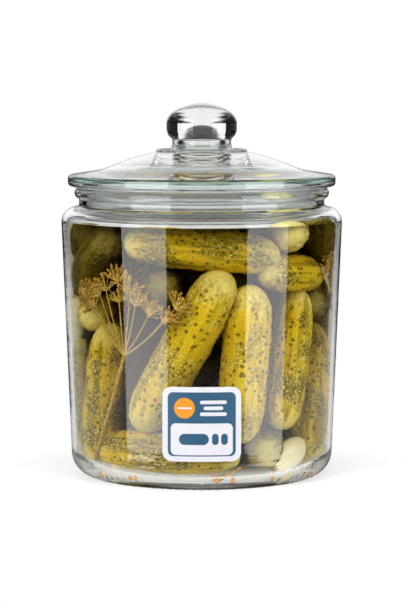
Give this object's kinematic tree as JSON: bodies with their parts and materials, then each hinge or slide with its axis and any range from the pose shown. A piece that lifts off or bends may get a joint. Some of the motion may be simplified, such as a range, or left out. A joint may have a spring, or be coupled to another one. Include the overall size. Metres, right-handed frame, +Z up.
{
  "type": "glass storage jar with pickles in brine",
  "caption": "Round glass storage jar with a domed glass lid, a clear ribbed seal and a square front label, filled to the shoulder with pickled cucumbers in brine.",
  "frame": {"origin": "centre of the foot, on the surface that the jar stands on", "axes": "+Z up along the jar's axis, -Y towards the label, +X to the right of someone who looks at the label"},
  "size_m": [0.1855, 0.1856, 0.2462],
  "materials": {
    "jar_glass": "clear gloss",
    "lid_glass": "clear gloss, faint green at the edge",
    "clear_seal": "clear soft plastic",
    "label_print": "printed sticker, satin",
    "pickles_in_brine": "wet olive and yellow pickles in clear brine"
  },
  "bodies": {
    "root": {"jar": "jar_glass", "lid": "lid_glass", "seal_ring": "clear_seal", "label": "label_print", "filling": "pickles_in_brine"}
  },
  "joints": []
}
